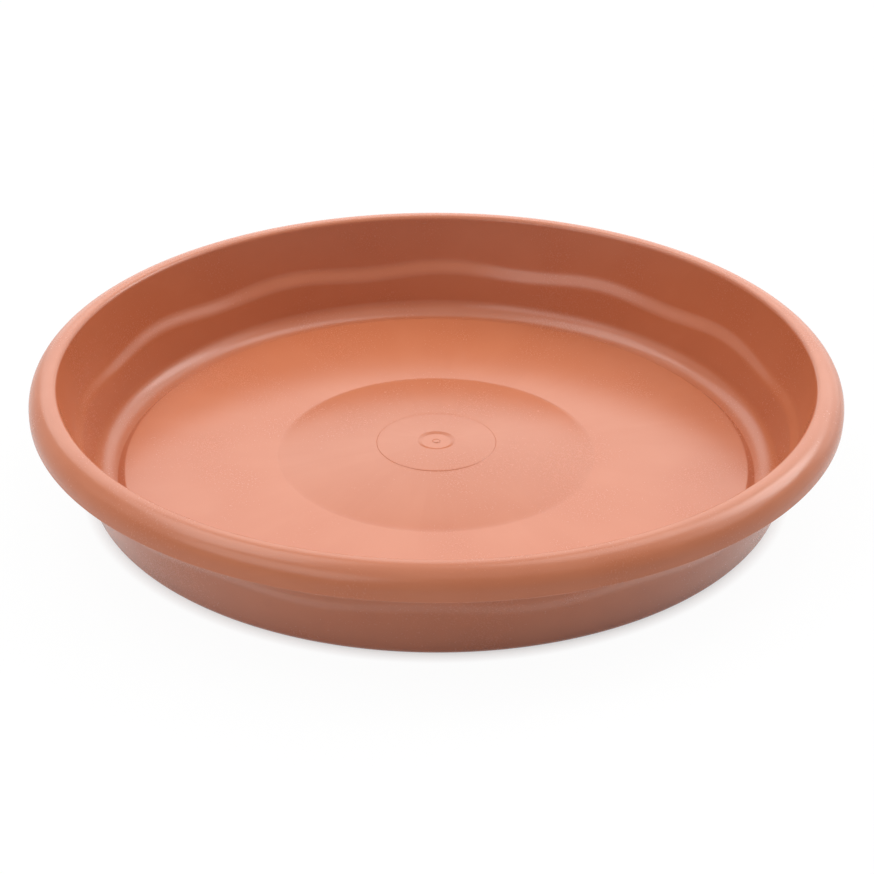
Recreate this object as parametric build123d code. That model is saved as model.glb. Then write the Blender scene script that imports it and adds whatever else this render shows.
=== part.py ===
from build123d import *
import math
import os

# Plant saucer moulded in one piece: a domed floor with a raised plateau, a gutter round it that is
# also the foot ring, a flared wall with a wavy stacking ledge, and a broad rolled rim.
# Millimetres. Z is up, the origin is under the centre of the saucer on the plane it stands on.

# Overall
outer_diameter = 300.0
overall_height = 43.3

# Walls
wall_thickness = 1.8
floor_thickness = 1.8
wall_draft = 13.9  # degrees that the wall leans out

# Rolled rim
rim_roll_radius = 7.9
rim_skirt_drop = 10.1  # from the top of the rim down to its free edge
rim_thickness = 1.8
rim_width = 10.3  # from the inner shoulder to the widest edge
rim_shoulder_round = 2.0
rim_edge_round = 0.5
rim_root_round = 1.2

# Wavy stacking ledge
ledge_height = 20.9  # middle of the step above the ground
ledge_step = 1.6  # how far the inside of the wall steps in below it
outer_ledge_step = 0.8  # how far the outside steps in, so the wall is thicker below the ledge
ledge_rise = 7.5  # height over which the step blends
wave_count = 12
wave_height = 1.1  # from the middle to the top of a wave
wave_turn = 28.5  # degrees from +X to the first wave top
ledge_margin = 0.6  # plain wall above and below the blend

# Gutter and foot ring
gutter_width = 7.4  # across its floor, from the foot of the plateau to the wall
gutter_round = 8.0
foot_inset = 1.7  # how far the foot ring reaches inside the gutter
foot_round = 3.3  # where the outside of the wall turns under
foot_edge_round = 0.6

# Raised plateau
plateau_lift = 2.2  # above the gutter's floor
plateau_slope_run = 2.5  # how far the edge slopes out
plateau_edge_round = 0.9
plateau_foot_round = 0.6

# Domed centre
disc_diameter = 120.4
dome_rise = 3.9
pad_diameter = 45.4
pad_step = 0.2
dimple_diameter = 14.4
dimple_depth = 0.5
dimple_slope_run = 1.6  # how far its edge slopes in
dimple_foot_round = 2.0
gate_mark_diameter = 2.8
gate_mark_height = 0.15

# How finely the wavy band is laid out, and how near two rims must be to count as one
points_per_wave = 8
band_sections = 13
join_tolerance = 0.0001

# Worked out from the sizes above
outer_radius = outer_diameter / 2
draft_slope = math.tan(math.radians(wall_draft))
roll_centre_r = outer_radius - rim_roll_radius
roll_centre_z = overall_height - rim_roll_radius
shoulder_r = outer_radius - rim_width
shoulder_z = roll_centre_z + math.sqrt(rim_roll_radius**2 - (roll_centre_r - shoulder_r) ** 2)
band_half = wave_height + ledge_rise / 2 + ledge_margin
band_bottom = ledge_height - band_half
band_top = ledge_height + band_half
plateau_z = floor_thickness + plateau_lift
disc_r = disc_diameter / 2
dome_sphere = (disc_r**2 + dome_rise**2) / (2 * dome_rise)


def plain_wall(z):
    """Inner radius of the upper wall's straight flare at a height."""
    return shoulder_r - (shoulder_z - z) * draft_slope


def lower_wall(z):
    """Inner radius of the wall below the ledge."""
    return plain_wall(z) - ledge_step


def lower_outside(z):
    """Outer radius of the wall below the ledge."""
    return plain_wall(z) + wall_thickness - outer_ledge_step


def blend(share):
    """Smooth step from 0 to 1 with no kink at either end."""
    t = max(0, min(1, share))
    return t**3 * (t * (6 * t - 15) + 10)


def wavy_wall(angle, z, offset, step):
    """Radius of a face of the wall where the ledge waves round it."""
    wave = wave_height * math.cos(wave_count * (angle - math.radians(wave_turn)))
    share = (z - ledge_height - wave) / ledge_rise + 1 / 2
    return plain_wall(z) + offset - step * (1 - blend(share))


def dome_z(r, lift=0):
    """Height of the domed centre at a radius."""
    return plateau_z + dome_rise - dome_sphere + math.sqrt(dome_sphere**2 - r**2) + lift


def dome_arc(r_from, r_to, lift):
    """Arc of the dome's section between two radii, raised or lowered by lift."""
    r_mid = (r_from + r_to) / 2
    ends = [(r, dome_z(r, lift)) for r in (r_from, r_mid, r_to)]
    return ThreePointArc(*ends)


def band_loop(z, offset, step):
    """Closed wavy loop of a face of the wall at a height."""
    count = wave_count * points_per_wave
    loop = []
    for i in range(count):
        angle = 2 * math.pi * i / count
        r = wavy_wall(angle, z, offset, step)
        loop.append(Vector(r * math.cos(angle), r * math.sin(angle), z))
    return Wire([Edge.make_spline(loop, periodic=True)])


def wavy_band():
    """The part of the wall that carries the ledge, which waves more gently outside."""
    heights = [
        band_bottom + (band_top - band_bottom) * i / (band_sections - 1)
        for i in range(band_sections)
    ]
    inside = Solid.make_loft([band_loop(z, 0, ledge_step) for z in heights])
    outside = Solid.make_loft([band_loop(z, wall_thickness, outer_ledge_step) for z in heights])
    return outside - inside


def revolved(lines):
    """Solid of revolution about Z from a closed section in the XZ plane."""
    return revolve(Plane.XZ * make_face(lines), axis=Axis.Z)


def floor_and_gutter():
    """Domed floor, plateau, gutter, foot ring and the foot of the wall."""
    pad_r = pad_diameter / 2
    dimple_r = dimple_diameter / 2
    gate_r = gate_mark_diameter / 2
    dimple_floor = dome_z(0, pad_step) - dimple_depth
    gate_top = dimple_floor + gate_mark_height
    inner_corner_r = lower_wall(floor_thickness)
    gutter_inner_r = inner_corner_r - gutter_width
    plateau_r = gutter_inner_r - plateau_slope_run
    foot_outer_r = lower_outside(0)
    foot_inner_r = gutter_inner_r - foot_inset
    under_z = plateau_z - floor_thickness
    under_r = foot_inner_r - plateau_slope_run

    upper = Polyline((0, gate_top), (gate_r, gate_top), (gate_r, dimple_floor))
    hollow = FilletPolyline(
        (gate_r, dimple_floor),
        (dimple_r - dimple_slope_run, dimple_floor),
        (dimple_r, dome_z(dimple_r, pad_step)),
        radius=dimple_foot_round,
    )
    pad = dome_arc(dimple_r, pad_r, pad_step)
    pad_wall = Line((pad_r, dome_z(pad_r, pad_step)), (pad_r, dome_z(pad_r)))
    dome = dome_arc(pad_r, disc_r, 0)
    inside = FilletPolyline(
        (disc_r, plateau_z),
        (plateau_r, plateau_z),
        (gutter_inner_r, floor_thickness),
        (inner_corner_r, floor_thickness),
        (lower_wall(band_bottom), band_bottom),
        radius=[plateau_edge_round, plateau_foot_round, gutter_round],
    )
    seam = Line(
        (lower_wall(band_bottom), band_bottom),
        (lower_outside(band_bottom), band_bottom),
    )
    outside = FilletPolyline(
        (lower_outside(band_bottom), band_bottom),
        (foot_outer_r, 0),
        (foot_inner_r, 0),
        (under_r, under_z),
        (disc_r, under_z),
        radius=[foot_round, foot_edge_round, plateau_edge_round],
    )
    under_dome = dome_arc(disc_r, 0, -floor_thickness)
    axis_line = Line((0, dome_z(0, -floor_thickness)), (0, gate_top))
    return revolved(
        [upper, hollow, pad, pad_wall, dome, inside, seam, outside, under_dome, axis_line]
    )


def wall_and_rim():
    """The wall above the ledge and the rolled rim with its free skirt."""
    skirt_z = overall_height - rim_skirt_drop
    inner_roll = rim_roll_radius - rim_thickness
    root_r = plain_wall(shoulder_z) + wall_thickness
    root_z = roll_centre_z + math.sqrt(inner_roll**2 - (roll_centre_r - root_r) ** 2)
    half = math.sqrt(1 / 2)

    def on_roll(radius, across, up):
        return (roll_centre_r + radius * across, roll_centre_z + radius * up)

    inner_face = Line((plain_wall(band_top), band_top), (shoulder_r, shoulder_z))
    crown_in = ThreePointArc(
        (shoulder_r, shoulder_z),
        on_roll(rim_roll_radius, half / 2, math.sqrt(1 - half**2 / 4)),
        on_roll(rim_roll_radius, 1, 0),
    )
    skirt_out = Line(on_roll(rim_roll_radius, 1, 0), (outer_radius, skirt_z))
    skirt_edge = Line((outer_radius, skirt_z), (outer_radius - rim_thickness, skirt_z))
    skirt_in = Line((outer_radius - rim_thickness, skirt_z), on_roll(inner_roll, 1, 0))
    crown_under = ThreePointArc(
        on_roll(inner_roll, 1, 0),
        on_roll(inner_roll, half, half),
        (root_r, root_z),
    )
    outer_face = Line((root_r, root_z), (plain_wall(band_top) + wall_thickness, band_top))
    seam = Line(
        (plain_wall(band_top) + wall_thickness, band_top), (plain_wall(band_top), band_top)
    )
    lines = [
        inner_face, crown_in, skirt_out, skirt_edge, skirt_in, crown_under, outer_face, seam,
    ]
    section = make_face(lines)
    section = round_corner(section, (shoulder_r, shoulder_z), rim_shoulder_round)
    section = round_corner(section, (outer_radius, skirt_z), rim_edge_round)
    section = round_corner(section, (outer_radius - rim_thickness, skirt_z), rim_edge_round)
    section = round_corner(section, (root_r, root_z), rim_root_round)
    return revolve(Plane.XZ * section, axis=Axis.Z)


def round_corner(section, corner, radius):
    """Round the corner of a flat section that lies at a point."""
    near = section.vertices().sort_by_distance((corner[0], corner[1], 0))[0]
    return fillet(near, radius)


def saucer():
    body = floor_and_gutter().fuse(wavy_band(), wall_and_rim(), tol=join_tolerance)
    return body


os.makedirs("parts", exist_ok=True)
model = saucer()
export_step(model, "parts/saucer.step")
print("saucer", round(model.volume), "cubic mm,", len(model.solids()), "solid")
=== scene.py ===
import bpy
import math
from mathutils import Matrix, Vector


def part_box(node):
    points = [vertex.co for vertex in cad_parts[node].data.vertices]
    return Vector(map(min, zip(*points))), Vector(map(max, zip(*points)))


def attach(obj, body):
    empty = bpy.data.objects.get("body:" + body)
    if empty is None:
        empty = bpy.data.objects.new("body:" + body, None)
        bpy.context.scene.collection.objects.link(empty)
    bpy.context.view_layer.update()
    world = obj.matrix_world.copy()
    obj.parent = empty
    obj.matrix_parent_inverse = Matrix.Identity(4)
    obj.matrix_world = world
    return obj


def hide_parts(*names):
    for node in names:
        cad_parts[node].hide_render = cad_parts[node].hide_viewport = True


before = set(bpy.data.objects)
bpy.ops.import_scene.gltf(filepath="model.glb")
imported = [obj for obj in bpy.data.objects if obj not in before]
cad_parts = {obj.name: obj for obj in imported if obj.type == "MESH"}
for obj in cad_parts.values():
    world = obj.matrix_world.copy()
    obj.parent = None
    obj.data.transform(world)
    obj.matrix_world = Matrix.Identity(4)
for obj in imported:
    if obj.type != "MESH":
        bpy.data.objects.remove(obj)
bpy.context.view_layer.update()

# Plant saucer in terracotta plastic, in metres, standing on z = 0 with its axis on Z.

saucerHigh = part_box("saucer")[1]
print("frame loaded")


# Saucer

saucer = {
    "radius": saucerHigh.x,
    "height": saucerHigh.z,
    "wallThickness": 0.0018,
    "floorThickness": 0.0018,
    "wallDraft": 13.9,           # degrees that the wall leans out
    "rollRadius": 0.0079,
    "skirtDrop": 0.0101,         # from the top of the rim down to its free edge
    "rimThickness": 0.0018,
    "rimWidth": 0.0103,
    "shoulderRound": 0.002,
    "edgeRound": 0.0005,
    "rootRound": 0.0012,
    "ledgeHeight": 0.0209,
    "ledgeStep": 0.0016,
    "outerLedgeStep": 0.0008,
    "ledgeRise": 0.0075,
    "waveCount": 12,
    "waveHeight": 0.0011,
    "waveTurn": 28.5,            # degrees from +X to the first wave top
    "ledgeMargin": 0.0006,
    "gutterWidth": 0.0074,
    "gutterRound": 0.008,
    "footInset": 0.0017,
    "footRound": 0.0033,
    "footEdgeRound": 0.0006,
    "plateauLift": 0.0022,
    "plateauSlopeRun": 0.0025,
    "plateauEdgeRound": 0.0009,
    "plateauFootRound": 0.0006,
    "discRadius": 0.0602,
    "domeRise": 0.0039,
    "padRadius": 0.0227,
    "padStep": 0.0002,
    "padEdgeShares": (           # how many steps out from the edge, and the share of the step left
        (-1.1, 1), (-0.6, 0.97), (-0.2, 0.72), (0.2, 0.28), (0.6, 0.03), (1.1, 0),
    ),
    "dimpleRadius": 0.0072,
    "dimpleDepth": 0.0005,
    "dimpleSlopeRun": 0.0016,
    "dimpleFootRound": 0.002,
    "dimpleEdgeRound": 0.0003,
    "gateRadius": 0.0014,
    "gateHeight": 0.00015,
    "gateShares": (              # of its radius and height
        (0, 1), (0.55, 0.94), (0.88, 0.75), (1, 0.3),
    ),
    "bandRowCount": 34,
    "padRowCount": 9,
    "domeRowCount": 18,
    "underDomeRowCount": 20,
    "turnsPerWave": 38,          # mesh columns in each wave of the ledge
    "longestStep": 0.004,        # longest mesh row on a straight stretch
    "supportGap": 0.00035,       # row kept close to each rounding, for clean shading
    "arcStep": 7.5,              # degrees of an arc in each mesh row
    "fewestArcSteps": 3,
}

draftSlope = math.tan(math.radians(saucer["wallDraft"]))
rollR = saucer["radius"] - saucer["rollRadius"]
rollZ = saucer["height"] - saucer["rollRadius"]
shoulderR = saucer["radius"] - saucer["rimWidth"]
shoulderZ = rollZ + math.sqrt(saucer["rollRadius"] ** 2 - (rollR - shoulderR) ** 2)
plateauZ = saucer["floorThickness"] + saucer["plateauLift"]
bandHalf = saucer["waveHeight"] + saucer["ledgeRise"] / 2 + saucer["ledgeMargin"]
bandBottom = saucer["ledgeHeight"] - bandHalf
bandTop = saucer["ledgeHeight"] + bandHalf
domeSphere = (saucer["discRadius"] ** 2 + saucer["domeRise"] ** 2) / (2 * saucer["domeRise"])


def plainWall(z):
    # inner radius of the wall's straight flare
    return shoulderR - (shoulderZ - z) * draftSlope


def outerWall(z):
    return plainWall(z) + saucer["wallThickness"]


def lowerWall(z):
    # inner radius below the ledge
    return plainWall(z) - saucer["ledgeStep"]


def lowerOutside(z):
    return outerWall(z) - saucer["outerLedgeStep"]


def smoothStep(share):
    t = max(0, min(1, share))
    return t ** 3 * (t * (6 * t - 15) + 10)


def wavyWall(angle, z, offset, step):
    # the step of the ledge rises and falls round the wall
    turn = saucer["waveCount"] * (angle - math.radians(saucer["waveTurn"]))
    wave = saucer["waveHeight"] * math.cos(turn)
    share = (z - saucer["ledgeHeight"] - wave) / saucer["ledgeRise"] + 0.5
    return plainWall(z) + offset - step * (1 - smoothStep(share))


def domeHeight(r, lift=0):
    return plateauZ + saucer["domeRise"] - domeSphere + math.sqrt(domeSphere ** 2 - r ** 2) + lift


gutterOuterR = lowerWall(saucer["floorThickness"])
gutterInnerR = gutterOuterR - saucer["gutterWidth"]


def arcPoints(centre, radius, start, end):
    # both ends included, angles in degrees
    count = max(saucer["fewestArcSteps"], math.ceil(abs(end - start) / saucer["arcStep"]))
    points = []
    for i in range(count + 1):
        a = math.radians(start + (end - start) * i / count)
        points.append((centre[0] + radius * math.cos(a), centre[1] + radius * math.sin(a)))
    return points


def straightRows(a, b):
    # rows between two points, with one close to each end
    length = math.dist(a, b)
    gap = saucer["supportGap"]
    if length < 3 * gap:
        return []
    count = math.ceil(length / saucer["longestStep"])
    between = [i / count for i in range(1, count)]
    between = [share for share in between if 2 * gap < share * length < length - 2 * gap]
    shares = [gap / length] + between + [1 - gap / length]
    return [(a[0] + (b[0] - a[0]) * share, a[1] + (b[1] - a[1]) * share) for share in shares]


def roundedPath(corners):
    # corners are (r, z, rounding), and the rounding of the two ends isn't used
    path = [corners[0][:2]]
    for before, here, after in zip(corners, corners[1:], corners[2:]):
        rounding = here[2]
        corner = Vector(here[:2])
        into = (corner - Vector(before[:2])).normalized()
        out = (Vector(after[:2]) - corner).normalized()
        turn = into.angle_signed(out)    # positive is clockwise
        cut = rounding * math.tan(abs(turn) / 2)
        side = Vector((into.y, -into.x)) if turn > 0 else Vector((-into.y, into.x))
        centre = corner - into * cut + side * rounding
        start = math.degrees(math.atan2(-side.y, -side.x))
        arc = arcPoints(centre, rounding, start, start - math.degrees(turn))
        path += straightRows(path[-1], arc[0]) + arc
    last = corners[-1][:2]
    return path + straightRows(path[-1], last) + [last]


def rollCorner(corner, radius, rounding):
    # rounding between the wall's straight flare and a circle about the middle of the rolled rim:
    # its centre, and the angles at which it meets the wall and the circle
    lean = math.radians(saucer["wallDraft"])
    up = Vector((math.sin(lean), math.cos(lean)))
    out = Vector((math.cos(lean), -math.sin(lean)))
    start = Vector(corner) + out * rounding - Vector((rollR, rollZ))
    along = start.dot(up)
    rise = -along + math.sqrt(along ** 2 - start.length_squared + (radius - rounding) ** 2)
    centre = start + up * rise
    rollAngle = math.degrees(math.atan2(centre.y, centre.x))
    return (rollR + centre.x, rollZ + centre.y), 180 - saucer["wallDraft"], rollAngle


def gateAndPad():
    # gate mark, dimple and pad, from the middle outwards
    s = saucer
    dimpleR = s["dimpleRadius"]
    dimpleZ = domeHeight(0, s["padStep"]) - s["dimpleDepth"]
    padRows = []
    for i in range(1, s["padRowCount"]):
        r = dimpleR + (s["padRadius"] - dimpleR) * i / s["padRowCount"]
        padRows.append((r, domeHeight(r, s["padStep"])))
    rows = [(s["gateRadius"] * out, dimpleZ + s["gateHeight"] * up) for out, up in s["gateShares"]]
    rows += roundedPath([
        (s["gateRadius"], dimpleZ, 0),
        (dimpleR - s["dimpleSlopeRun"], dimpleZ, s["dimpleFootRound"]),
        (dimpleR, domeHeight(dimpleR, s["padStep"]), s["dimpleEdgeRound"]),
        (*padRows[0], 0),
    ])
    rows += padRows[1:]
    for out, left in s["padEdgeShares"]:
        r = s["padRadius"] + out * s["padStep"]
        rows.append((r, domeHeight(r, s["padStep"] * left)))
    return rows


def domeToGutter():
    # dome, plateau, gutter and the foot of the inner wall
    s = saucer
    rows = []
    for i in range(1, s["domeRowCount"]):
        r = s["padRadius"] + (s["discRadius"] - s["padRadius"]) * i / s["domeRowCount"]
        rows.append((r, domeHeight(r)))
    return rows + roundedPath([
        (s["discRadius"], plateauZ, 0),
        (gutterInnerR - s["plateauSlopeRun"], plateauZ, s["plateauEdgeRound"]),
        (gutterInnerR, s["floorThickness"], s["plateauFootRound"]),
        (gutterOuterR, s["floorThickness"], s["gutterRound"]),
        (lowerWall(bandBottom), bandBottom, 0),
    ])[:-1]


def bandRows(offset, step, rising):
    # rows of the wavy band, whose radius is worked out for each column
    count = saucer["bandRowCount"]
    rows = [(offset, bandBottom + (bandTop - bandBottom) * i / count, step) for i in range(count + 1)]
    return rows if rising else rows[::-1]


def rolledRim():
    # up the inside of the wall, over the rim, under it and back down the outside
    s = saucer
    skirtZ = s["height"] - s["skirtDrop"]
    skirtInnerR = s["radius"] - s["rimThickness"]
    innerRoll = s["rollRadius"] - s["rimThickness"]
    shoulder = (shoulderR, shoulderZ)
    centre, wallSide, rollSide = rollCorner(shoulder, s["rollRadius"], s["shoulderRound"])
    shoulderArc = arcPoints(centre, s["shoulderRound"], wallSide, rollSide)
    rows = straightRows((plainWall(bandTop), bandTop), shoulderArc[0]) + shoulderArc
    rows += arcPoints((rollR, rollZ), s["rollRadius"], rollSide, 0)[1:]
    rows += roundedPath([
        (s["radius"], rollZ, 0),
        (s["radius"], skirtZ, s["edgeRound"]),
        (skirtInnerR, skirtZ, s["edgeRound"]),
        (skirtInnerR, rollZ, 0),
    ])[1:]
    rootR = shoulderR + s["wallThickness"]
    rootZ = rollZ + math.sqrt(innerRoll ** 2 - (rollR - rootR) ** 2)
    centre, wallSide, rollSide = rollCorner((rootR, rootZ), innerRoll, s["rootRound"])
    rootArc = arcPoints(centre, s["rootRound"], rollSide, wallSide)
    rows += arcPoints((rollR, rollZ), innerRoll, 0, rollSide)[1:] + rootArc[1:]
    return rows + straightRows(rootArc[-1], (outerWall(bandTop), bandTop))


def footAndUnderside():
    # foot of the outer wall, foot ring and the underside of the floor
    s = saucer
    footInnerR = gutterInnerR - s["footInset"]
    underZ = plateauZ - s["floorThickness"]
    rows = roundedPath([
        (lowerOutside(bandBottom), bandBottom, 0),
        (lowerOutside(0), 0, s["footRound"]),
        (footInnerR, 0, s["footEdgeRound"]),
        (footInnerR - s["plateauSlopeRun"], underZ, s["plateauEdgeRound"]),
        (s["discRadius"], underZ, 0),
    ])[1:]
    for i in range(1, s["underDomeRowCount"] + 1):
        r = s["discRadius"] * (1 - i / s["underDomeRowCount"])
        rows.append((r, domeHeight(r, -s["floorThickness"])))
    return rows


def saucerSection():
    # closed section from the middle of the top to the middle of the underside
    section = gateAndPad() + domeToGutter() + bandRows(0, saucer["ledgeStep"], True)
    section += rolledRim() + bandRows(saucer["wallThickness"], saucer["outerLedgeStep"], False)
    return section + footAndUnderside()


def buildSaucer():
    turns = saucer["waveCount"] * saucer["turnsPerWave"]
    verts, rings, faces = [], [], []
    for row in saucerSection():
        wavy = len(row) == 3
        if row[0] == 0 and not wavy:    # a point on the axis
            rings.append([len(verts)])
            verts.append((0, 0, row[1]))
            continue
        rings.append(range(len(verts), len(verts) + turns))
        for i in range(turns):
            a = 2 * math.pi * i / turns
            r = wavyWall(a, row[1], row[0], row[2]) if wavy else row[0]
            verts.append((r * math.cos(a), r * math.sin(a), row[1]))
    for before, after in zip(rings, rings[1:]):
        for i in range(turns):
            j = (i + 1) % turns
            if len(before) == 1:
                faces.append((before[0], after[i], after[j]))
            elif len(after) == 1:
                faces.append((before[i], after[0], before[j]))
            else:
                faces.append((before[i], after[i], after[j], before[j]))
    mesh = bpy.data.meshes.new("mouldedSaucer")
    mesh.from_pydata(verts, [], faces)
    mesh.validate()
    mesh.shade_smooth()
    piece = bpy.data.objects.new("mouldedSaucer", mesh)
    bpy.context.scene.collection.objects.link(piece)
    return piece


# Node helpers

def addNode(tree, kind, place, **settings):
    node = tree.nodes.new(kind)
    node.location = place
    for key, value in settings.items():
        setattr(node, key, value)
    return node


def mathNode(tree, operation, place, a, b=None):
    node = addNode(tree, "ShaderNodeMath", place, operation=operation)
    for socket, value in zip(node.inputs, (a, b)):
        if isinstance(value, (int, float)):
            socket.default_value = value
        elif value is not None:
            tree.links.new(value, socket)
    return node.outputs[0]


def scaled(tree, place, value, span, newSpan):
    # a value moved from one span to another and held at its ends
    node = addNode(tree, "ShaderNodeMapRange", place)
    labels = ("From Min", "From Max", "To Min", "To Max")
    for label, number in zip(labels, (*span, *newSpan)):
        node.inputs[label].default_value = number
    tree.links.new(value, node.inputs["Value"])
    return node.outputs[0]


def colourMix(tree, place, factor, a, b):
    # sockets 6 and 7 take the colours, and 2 gives the mixed one
    node = addNode(tree, "ShaderNodeMix", place, data_type="RGBA", blend_type="MIX")
    for socket, value in ((node.inputs[0], factor), (node.inputs[6], a), (node.inputs[7], b)):
        if isinstance(value, tuple):
            socket.default_value = (*value, 1.0)
        else:
            tree.links.new(value, socket)
    return node.outputs[2]


def bumpNode(tree, place, height, depth, normal=None):
    node = addNode(tree, "ShaderNodeBump", place)
    node.inputs["Strength"].default_value = 1.0
    node.inputs["Distance"].default_value = depth
    tree.links.new(height, node.inputs["Height"])
    if normal is not None:
        tree.links.new(normal, node.inputs["Normal"])
    return node.outputs["Normal"]


def newGroup(name, inputs, outputs):
    tree = bpy.data.node_groups.new(name, "ShaderNodeTree")
    for label, kind in inputs:
        tree.interface.new_socket(name=label, in_out="INPUT", socket_type=kind)
    for label, kind in outputs:
        tree.interface.new_socket(name=label, in_out="OUTPUT", socket_type=kind)
    start = addNode(tree, "NodeGroupInput", (-900, 0))
    end = addNode(tree, "NodeGroupOutput", (700, 0))
    return tree, start, end


def placeGroup(tree, group, place, position, scale):
    node = addNode(tree, "ShaderNodeGroup", place)
    node.node_tree = group
    node.inputs["Scale"].default_value = scale
    tree.links.new(position, node.inputs["Place"])
    return node


# Mould grain

grain = {
    "detail": 2.5,
    "roughness": 0.6,
    "pitPower": 1.5,
    "pitShare": 0.5,             # how much the pits add to the height
}


def grainGroup():
    # the fine spark-eroded grain of the mould, with its height and a mask of its pits
    tree, start, end = newGroup(
        "mouldGrain",
        [("Place", "NodeSocketVector"), ("Scale", "NodeSocketFloat")],
        [("Height", "NodeSocketFloat"), ("Pits", "NodeSocketFloat")],
    )
    fine = addNode(tree, "ShaderNodeTexNoise", (-500, 150))
    fine.inputs["Detail"].default_value = grain["detail"]
    fine.inputs["Roughness"].default_value = grain["roughness"]
    cells = addNode(tree, "ShaderNodeTexVoronoi", (-500, -200), feature="F1")
    cells.inputs["Randomness"].default_value = 1.0
    for node in (fine, cells):
        tree.links.new(start.outputs["Place"], node.inputs["Vector"])
        tree.links.new(start.outputs["Scale"], node.inputs["Scale"])
    pits = mathNode(tree, "POWER", (-250, -200), cells.outputs["Distance"], grain["pitPower"])
    raised = mathNode(tree, "MULTIPLY", (-100, -80), pits, grain["pitShare"])
    height = mathNode(tree, "ADD", (100, 50), fine.outputs["Fac"], raised)
    tree.links.new(height, end.inputs["Height"])
    tree.links.new(pits, end.inputs["Pits"])
    return tree


# Flow streaks

flow = {
    "gateGap": 0.004,            # keeps the streaks calm at the gate
    "outwardScale": 2.2,
    "upwardScale": 8.0,
    "detail": 3.0,
    "distortion": 0.6,
}


def flowGroup():
    # faint streaks that the plastic leaves as it runs outwards from the gate
    tree, start, end = newGroup(
        "flowStreaks",
        [("Place", "NodeSocketVector"), ("Scale", "NodeSocketFloat")],
        [("Shade", "NodeSocketFloat")],
    )
    parts = addNode(tree, "ShaderNodeSeparateXYZ", (-700, 0))
    tree.links.new(start.outputs["Place"], parts.inputs[0])
    x, y, z = parts.outputs
    xSquare = mathNode(tree, "MULTIPLY", (-560, 200), x, x)
    ySquare = mathNode(tree, "MULTIPLY", (-560, 60), y, y)
    square = mathNode(tree, "ADD", (-450, 150), xSquare, ySquare)
    reach = mathNode(tree, "SQRT", (-350, 150), square)
    divisor = mathNode(tree, "ADD", (-250, 150), reach, flow["gateGap"])
    outward = mathNode(tree, "MULTIPLY", (-300, -120), reach, flow["outwardScale"])
    upward = mathNode(tree, "MULTIPLY", (-300, -240), z, flow["upwardScale"])
    polar = addNode(tree, "ShaderNodeCombineXYZ", (0, 0))
    tree.links.new(mathNode(tree, "DIVIDE", (-150, 80), x, divisor), polar.inputs[0])
    tree.links.new(mathNode(tree, "DIVIDE", (-150, -40), y, divisor), polar.inputs[1])
    tree.links.new(mathNode(tree, "ADD", (-150, -180), outward, upward), polar.inputs[2])
    streaks = addNode(tree, "ShaderNodeTexNoise", (200, 0))
    streaks.inputs["Detail"].default_value = flow["detail"]
    streaks.inputs["Distortion"].default_value = flow["distortion"]
    tree.links.new(polar.outputs[0], streaks.inputs["Vector"])
    tree.links.new(start.outputs["Scale"], streaks.inputs["Scale"])
    tree.links.new(streaks.outputs["Fac"], end.inputs["Shade"])
    return tree


# Slow cloud

cloud = {
    "detail": 2.0,
}


def cloudGroup():
    # slow changes over the surface, a few centimetres across
    tree, start, end = newGroup(
        "slowCloud",
        [("Place", "NodeSocketVector"), ("Scale", "NodeSocketFloat")],
        [("Cloud", "NodeSocketFloat")],
    )
    noise = addNode(tree, "ShaderNodeTexNoise", (-300, 0))
    noise.inputs["Detail"].default_value = cloud["detail"]
    tree.links.new(start.outputs["Place"], noise.inputs["Vector"])
    tree.links.new(start.outputs["Scale"], noise.inputs["Scale"])
    tree.links.new(noise.outputs["Fac"], end.inputs["Cloud"])
    return tree


# Terracotta plastic

plastic = {
    "colour": (0.474, 0.146, 0.065),
    "deeper": (0.450, 0.132, 0.057),
    "paler": (0.486, 0.153, 0.070),
    "specular": 0.40,
    "roughness": 0.23,
    "roughnessSwing": 0.02,
    "pitRoughness": 0.05,        # added at the pits of the grain
    "grainScale": 1900.0,
    "grainDepth": 0.000007,
    "rippleDepth": 0.00003,
    "streakScale": 9.0,
    "cloudScale": 28.0,
    "toneSpan": (0.35, 0.65),    # span of the noise over which the colour changes
    "glossSpan": (0.3, 0.7),     # and the roughness
    "cloudShare": 0.6,
    "pitShare": 0.12,
}


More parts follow.
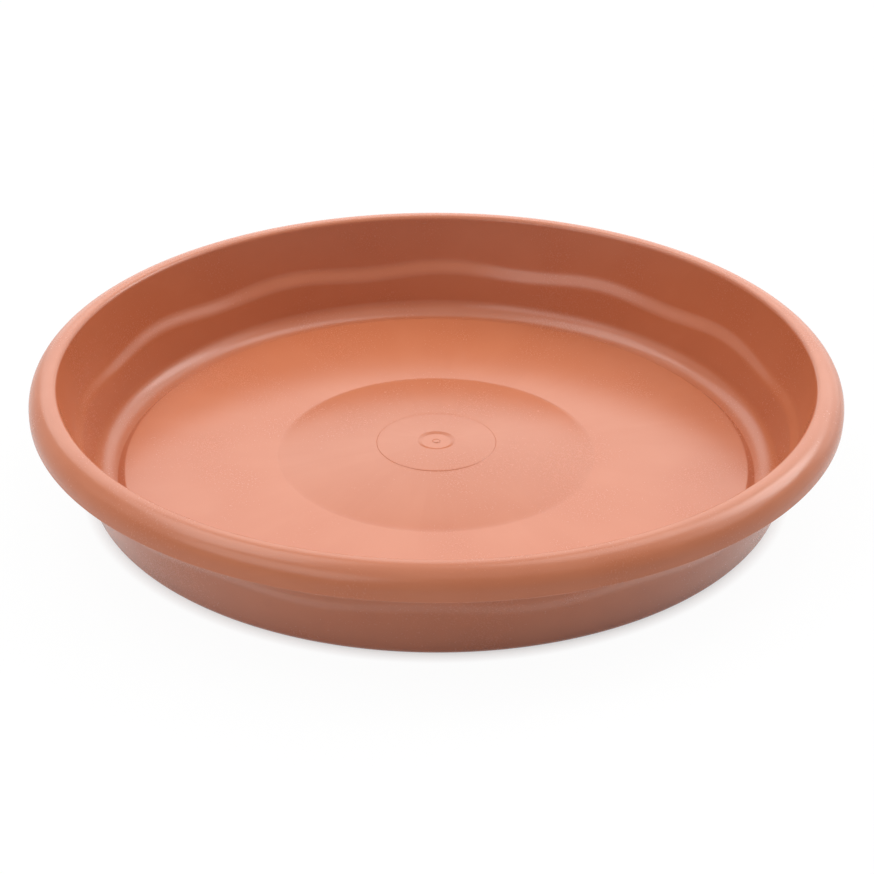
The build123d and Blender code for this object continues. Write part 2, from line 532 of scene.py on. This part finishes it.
def terracottaPlastic():
    material = bpy.data.materials.new("terracottaPlastic")
    material.use_nodes = True
    tree = material.node_tree
    shader = tree.nodes["Principled BSDF"]
    place = addNode(tree, "ShaderNodeTexCoord", (-1500, 0)).outputs["Object"]
    grainNode = placeGroup(tree, grainGroup(), (-1200, -300), place, plastic["grainScale"])
    flowNode = placeGroup(tree, flowGroup(), (-1200, 200), place, plastic["streakScale"])
    cloudNode = placeGroup(tree, cloudGroup(), (-1200, 0), place, plastic["cloudScale"])
    clouds = cloudNode.outputs["Cloud"]
    pits = grainNode.outputs["Pits"]

    # colour: streaks from the gate, slow clouds, and pits a touch deeper
    streak = scaled(tree, (-950, 250), flowNode.outputs["Shade"], plastic["toneSpan"], (0, 1))
    patch = scaled(tree, (-950, 50), clouds, plastic["toneSpan"], (0, 1))
    patch = mathNode(tree, "MULTIPLY", (-700, 50), patch, plastic["cloudShare"])
    pitShade = mathNode(tree, "MULTIPLY", (-700, -100), pits, plastic["pitShare"])
    tone = colourMix(tree, (-700, 250), streak, plastic["colour"], plastic["paler"])
    tone = colourMix(tree, (-500, 200), patch, tone, plastic["deeper"])
    tone = colourMix(tree, (-300, 150), pitShade, tone, plastic["deeper"])
    tree.links.new(tone, shader.inputs["Base Color"])

    low = plastic["roughness"] - plastic["roughnessSwing"]
    high = plastic["roughness"] + plastic["roughnessSwing"]
    rough = scaled(tree, (-500, -100), clouds, plastic["glossSpan"], (low, high))
    pitRough = mathNode(tree, "MULTIPLY", (-500, -250), pits, plastic["pitRoughness"])
    rough = mathNode(tree, "ADD", (-300, -100), rough, pitRough)
    tree.links.new(rough, shader.inputs["Roughness"])

    ripple = bumpNode(tree, (-400, -350), clouds, plastic["rippleDepth"])
    bump = bumpNode(tree, (-200, -350), grainNode.outputs["Height"], plastic["grainDepth"], ripple)
    tree.links.new(bump, shader.inputs["Normal"])
    shader.inputs["Specular IOR Level"].default_value = plastic["specular"]
    return material


mouldedSaucer = buildSaucer()
mouldedSaucer.data.materials.append(terracottaPlastic())
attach(mouldedSaucer, "root")
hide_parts("saucer")
print("saucer built:", len(mouldedSaucer.data.vertices), "points")


# Studio

studio = {
    "floorRadius": 4.0,
    "floorTurns": 96,
    "floorColour": (0.90, 0.90, 0.90),
    "floorRoughness": 0.8,
    # painted shade: the floor is lifted less to white in a ring beside the foot, darkening it there and
    # in the saucer's reflections
    "shadowRadii": (0.1285, 0.1345),    # where the shadow beside the foot starts and has faded
    "whiteShares": (0.55, 0.96),        # how far the seen floor is lifted to white at these two
    "worldLight": 0.05,
    "lampDistance": 2.0,
}

# azimuth in degrees from +X, rise in degrees, sizes in metres, radiance 1 shows as white
lamps = [
    {"name": "overheadLamp", "azimuth": 90, "rise": 90, "wide": 3.2, "tall": 3.2, "radiance": 0.58},
    {"name": "smallOverheadLamp", "azimuth": 90, "rise": 90, "wide": 1.6, "tall": 1.6, "radiance": 1.33},
    {"name": "highLeftLamp", "azimuth": 157, "rise": 62, "wide": 1.5, "tall": 0.9, "radiance": 3.02},
    {"name": "highRightLamp", "azimuth": 45, "rise": 62, "wide": 0.9, "tall": 0.9, "radiance": 2.77},
    {"name": "rightLamp", "azimuth": 15, "rise": 37, "wide": 1.7, "tall": 0.9, "radiance": 1.62},
    {"name": "backRightLamp", "azimuth": 30, "rise": 37, "wide": 0.9, "tall": 0.9, "radiance": 4.06},
    {"name": "backLamp", "azimuth": 90, "rise": 37, "wide": 3.1, "tall": 0.9, "radiance": 1.90},
    {"name": "leftLamp", "azimuth": 225, "rise": 37, "wide": 1.7, "tall": 0.9, "radiance": 2.14},
    {"name": "sideLeftLamp", "azimuth": 180, "rise": 37, "wide": 0.9, "tall": 0.9, "radiance": 0.69},
    {"name": "lowBackLamp", "azimuth": 75, "rise": 12, "wide": 4.0, "tall": 0.9, "radiance": 0.73},
]


def seenRays(tree, share):
    # share for rays from the camera and for those that gloss or glass sends on, and 0 for the rest
    path = addNode(tree, "ShaderNodeLightPath", (-900, 300))
    direct = path.outputs["Is Camera Ray"]
    gloss = path.outputs["Is Glossy Ray"]
    glass = path.outputs["Is Transmission Ray"]
    seen = mathNode(tree, "ADD", (-650, 300), direct, gloss)
    seen = mathNode(tree, "ADD", (-450, 300), seen, glass)
    seen = mathNode(tree, "MINIMUM", (-250, 300), seen, 1.0)
    return mathNode(tree, "MULTIPLY", (-100, 300), seen, share)


def palePaper():
    # white to the eye, and it keeps the shadow; beside the foot the white lift is cut, which paints
    # extra shade on the floor there and on its reflection in the saucer
    material = bpy.data.materials.new("palePaper")
    material.use_nodes = True
    tree = material.node_tree
    shader = tree.nodes["Principled BSDF"]
    shader.inputs["Base Color"].default_value = (*studio["floorColour"], 1)
    shader.inputs["Roughness"].default_value = studio["floorRoughness"]
    white = addNode(tree, "ShaderNodeEmission", (0, -200))
    place = addNode(tree, "ShaderNodeTexCoord", (-900, 100))
    reach = addNode(tree, "ShaderNodeVectorMath", (-700, 100), operation="LENGTH")
    tree.links.new(place.outputs["Object"], reach.inputs[0])
    fromMiddle = reach.outputs["Value"]
    # less lift beside the foot paints shade there, on top of the real shadow
    share = scaled(tree, (-500, 100), fromMiddle, studio["shadowRadii"], studio["whiteShares"])
    mix = addNode(tree, "ShaderNodeMixShader", (400, 100))
    tree.links.new(seenRays(tree, share), mix.inputs[0])
    tree.links.new(shader.outputs[0], mix.inputs[1])
    tree.links.new(white.outputs[0], mix.inputs[2])
    tree.links.new(mix.outputs[0], tree.nodes["Material Output"].inputs["Surface"])
    return material


def buildFloor():
    turns = studio["floorTurns"]
    verts = [(0, 0, 0)]
    for i in range(turns):
        a = 2 * math.pi * i / turns
        verts.append((studio["floorRadius"] * math.cos(a), studio["floorRadius"] * math.sin(a), 0))
    faces = [(0, i + 1, (i + 1) % turns + 1) for i in range(turns)]
    mesh = bpy.data.meshes.new("studioFloor")
    mesh.from_pydata(verts, [], faces)
    mesh.materials.append(palePaper())
    piece = bpy.data.objects.new("studioFloor", mesh)
    bpy.context.scene.collection.objects.link(piece)


def towards(azimuth, rise):
    # unit vector from angles in degrees
    a, b = math.radians(azimuth), math.radians(rise)
    return Vector((math.cos(a) * math.cos(b), math.sin(a) * math.cos(b), math.sin(b)))


def addLamp(lamp):
    data = bpy.data.lights.new(lamp["name"], "AREA")
    data.shape = "RECTANGLE"
    data.size = lamp["wide"]
    data.size_y = lamp["tall"]
    data.energy = lamp["radiance"] * math.pi * lamp["wide"] * lamp["tall"]
    piece = bpy.data.objects.new(lamp["name"], data)
    side = towards(lamp["azimuth"], lamp["rise"])
    piece.location = side * studio["lampDistance"]
    piece.rotation_euler = side.to_track_quat("Z", "Y").to_euler()
    bpy.context.scene.collection.objects.link(piece)


def lightWorld():
    # a faint even light, and white where it is seen
    world = bpy.data.worlds.new("studioWorld")
    bpy.context.scene.world = world
    world.use_nodes = True
    tree = world.node_tree
    light = tree.nodes["Background"]
    light.inputs["Color"].default_value = (1, 1, 1, 1)
    light.inputs["Strength"].default_value = studio["worldLight"]
    white = addNode(tree, "ShaderNodeBackground", (0, -150))
    white.inputs["Color"].default_value = (1, 1, 1, 1)
    white.inputs["Strength"].default_value = 1.0
    mix = addNode(tree, "ShaderNodeMixShader", (250, 0))
    tree.links.new(seenRays(tree, 1.0), mix.inputs[0])
    tree.links.new(light.outputs[0], mix.inputs[1])
    tree.links.new(white.outputs[0], mix.inputs[2])
    tree.links.new(mix.outputs[0], tree.nodes["World Output"].inputs["Surface"])


buildFloor()
for lamp in lamps:
    addLamp(lamp)
lightWorld()
bpy.context.scene.view_settings.view_transform = "Standard"
print("studio lit")


# Camera

camera = {
    "place": (0, -0.63118, 0.35339),
    "lookDown": 0.4990,          # radians below level
    "turnRight": 0.0004,         # radians
    "roll": 0.0026,              # radians
    "lens": 77.73,               # millimetres, as is the sensor
    "sensor": 36.0,
}


def buildCamera():
    data = bpy.data.cameras.new("photoCamera")
    data.lens = camera["lens"]
    data.sensor_width = camera["sensor"]
    piece = bpy.data.objects.new("photoCamera", data)
    turn = Matrix.Rotation(-camera["turnRight"], 4, "Z")
    tilt = Matrix.Rotation(math.pi / 2 - camera["lookDown"], 4, "X")
    roll = Matrix.Rotation(camera["roll"], 4, "Z")
    piece.matrix_world = Matrix.Translation(camera["place"]) @ turn @ tilt @ roll
    bpy.context.scene.collection.objects.link(piece)
    bpy.context.scene.camera = piece


buildCamera()
